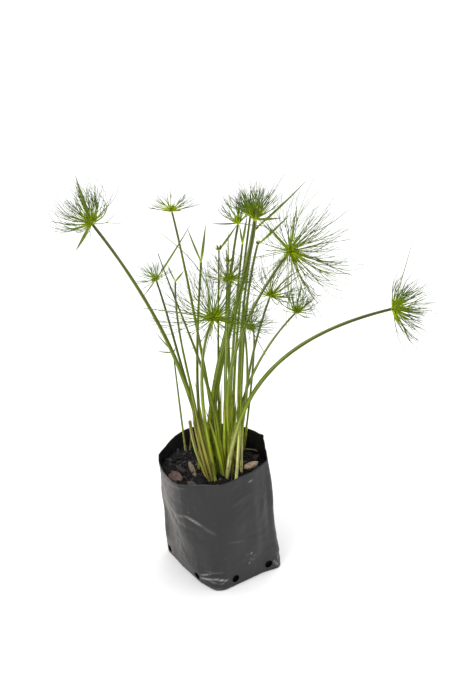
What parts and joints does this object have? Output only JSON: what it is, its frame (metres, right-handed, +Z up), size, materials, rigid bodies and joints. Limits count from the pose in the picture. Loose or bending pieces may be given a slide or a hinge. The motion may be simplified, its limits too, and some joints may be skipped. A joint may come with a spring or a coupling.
{
  "type": "potted papyrus plant",
  "caption": "Young papyrus in a black polythene planter bag: a clump of slim arching culms that end in mops of fine rays, standing in dark potting mix with bark.",
  "frame": {"origin": "middle of the bag's flat base, where it stands", "axes": "+Z up along the plant, -Y towards the side seen first, +X to that viewer's right"},
  "size_m": [0.4875, 0.3233, 0.5989],
  "materials": {
    "polythene": "thin black film with a dull sheen, dusty low down, with creases and scuffs",
    "potting_mix": "damp dark composted bark and peat, crumbly and matt",
    "bark": "rough brown bark flakes",
    "dry_twig": "dry straw-coloured stalk",
    "culm_green": "smooth finely ribbed green stem, pale yellow-green at its foot",
    "umbel_green": "bright yellow-green at the hub, dull green threads at the tips"
  },
  "bodies": {
    "root": {"bark_curved": "bark", "bark_flat": "bark", "bark_round": "bark", "bark_small": "bark", "bark_stick": "bark", "bark_tan": "bark", "culm_back_low": "culm_green", "culm_blade_high": "culm_green", "culm_blade_low": "culm_green", "culm_bud": "culm_green", "culm_crown": "culm_green", "culm_crown_back": "culm_green", "culm_cut": "culm_green", "culm_far_left": "culm_green", "culm_far_right": "culm_green", "culm_forked_left": "culm_green", "culm_forked_mid": "culm_green", "culm_forked_top": "culm_green", "culm_inner_bud": "culm_green", "culm_inner_low": "culm_green", "culm_low_front": "culm_green", "culm_mid_left": "culm_green", "culm_right_low": "culm_green", "culm_right_mid": "culm_green", "culm_right_open": "culm_green", "culm_spear": "culm_green", "culm_stub": "culm_green", "culm_thin_left": "culm_green", "culm_thin_right": "culm_green", "culm_top_left": "culm_green", "culm_top_mid": "culm_green", "grow_bag": "polythene", "new_shoot": "culm_green", "pale_twig": "dry_twig", "potting_mix": "potting_mix", "umbel_back_low": "umbel_green", "umbel_blade_high": "umbel_green", "umbel_blade_low": "umbel_green", "umbel_bud": "umbel_green", "umbel_crown": "umbel_green", "umbel_crown_back": "umbel_green", "umbel_far_left": "umbel_green", "umbel_far_right": "umbel_green", "umbel_forked_left": "umbel_green", "umbel_forked_mid": "umbel_green", "umbel_forked_top": "umbel_green", "umbel_inner_bud": "umbel_green", "umbel_inner_low": "umbel_green", "umbel_low_front": "umbel_green", "umbel_mid_left": "umbel_green", "umbel_right_low": "umbel_green", "umbel_right_mid": "umbel_green", "umbel_right_open": "umbel_green", "umbel_thin_left": "umbel_green", "umbel_thin_right": "umbel_green", "umbel_top_left": "umbel_green", "umbel_top_mid": "umbel_green"}
  },
  "joints": []
}
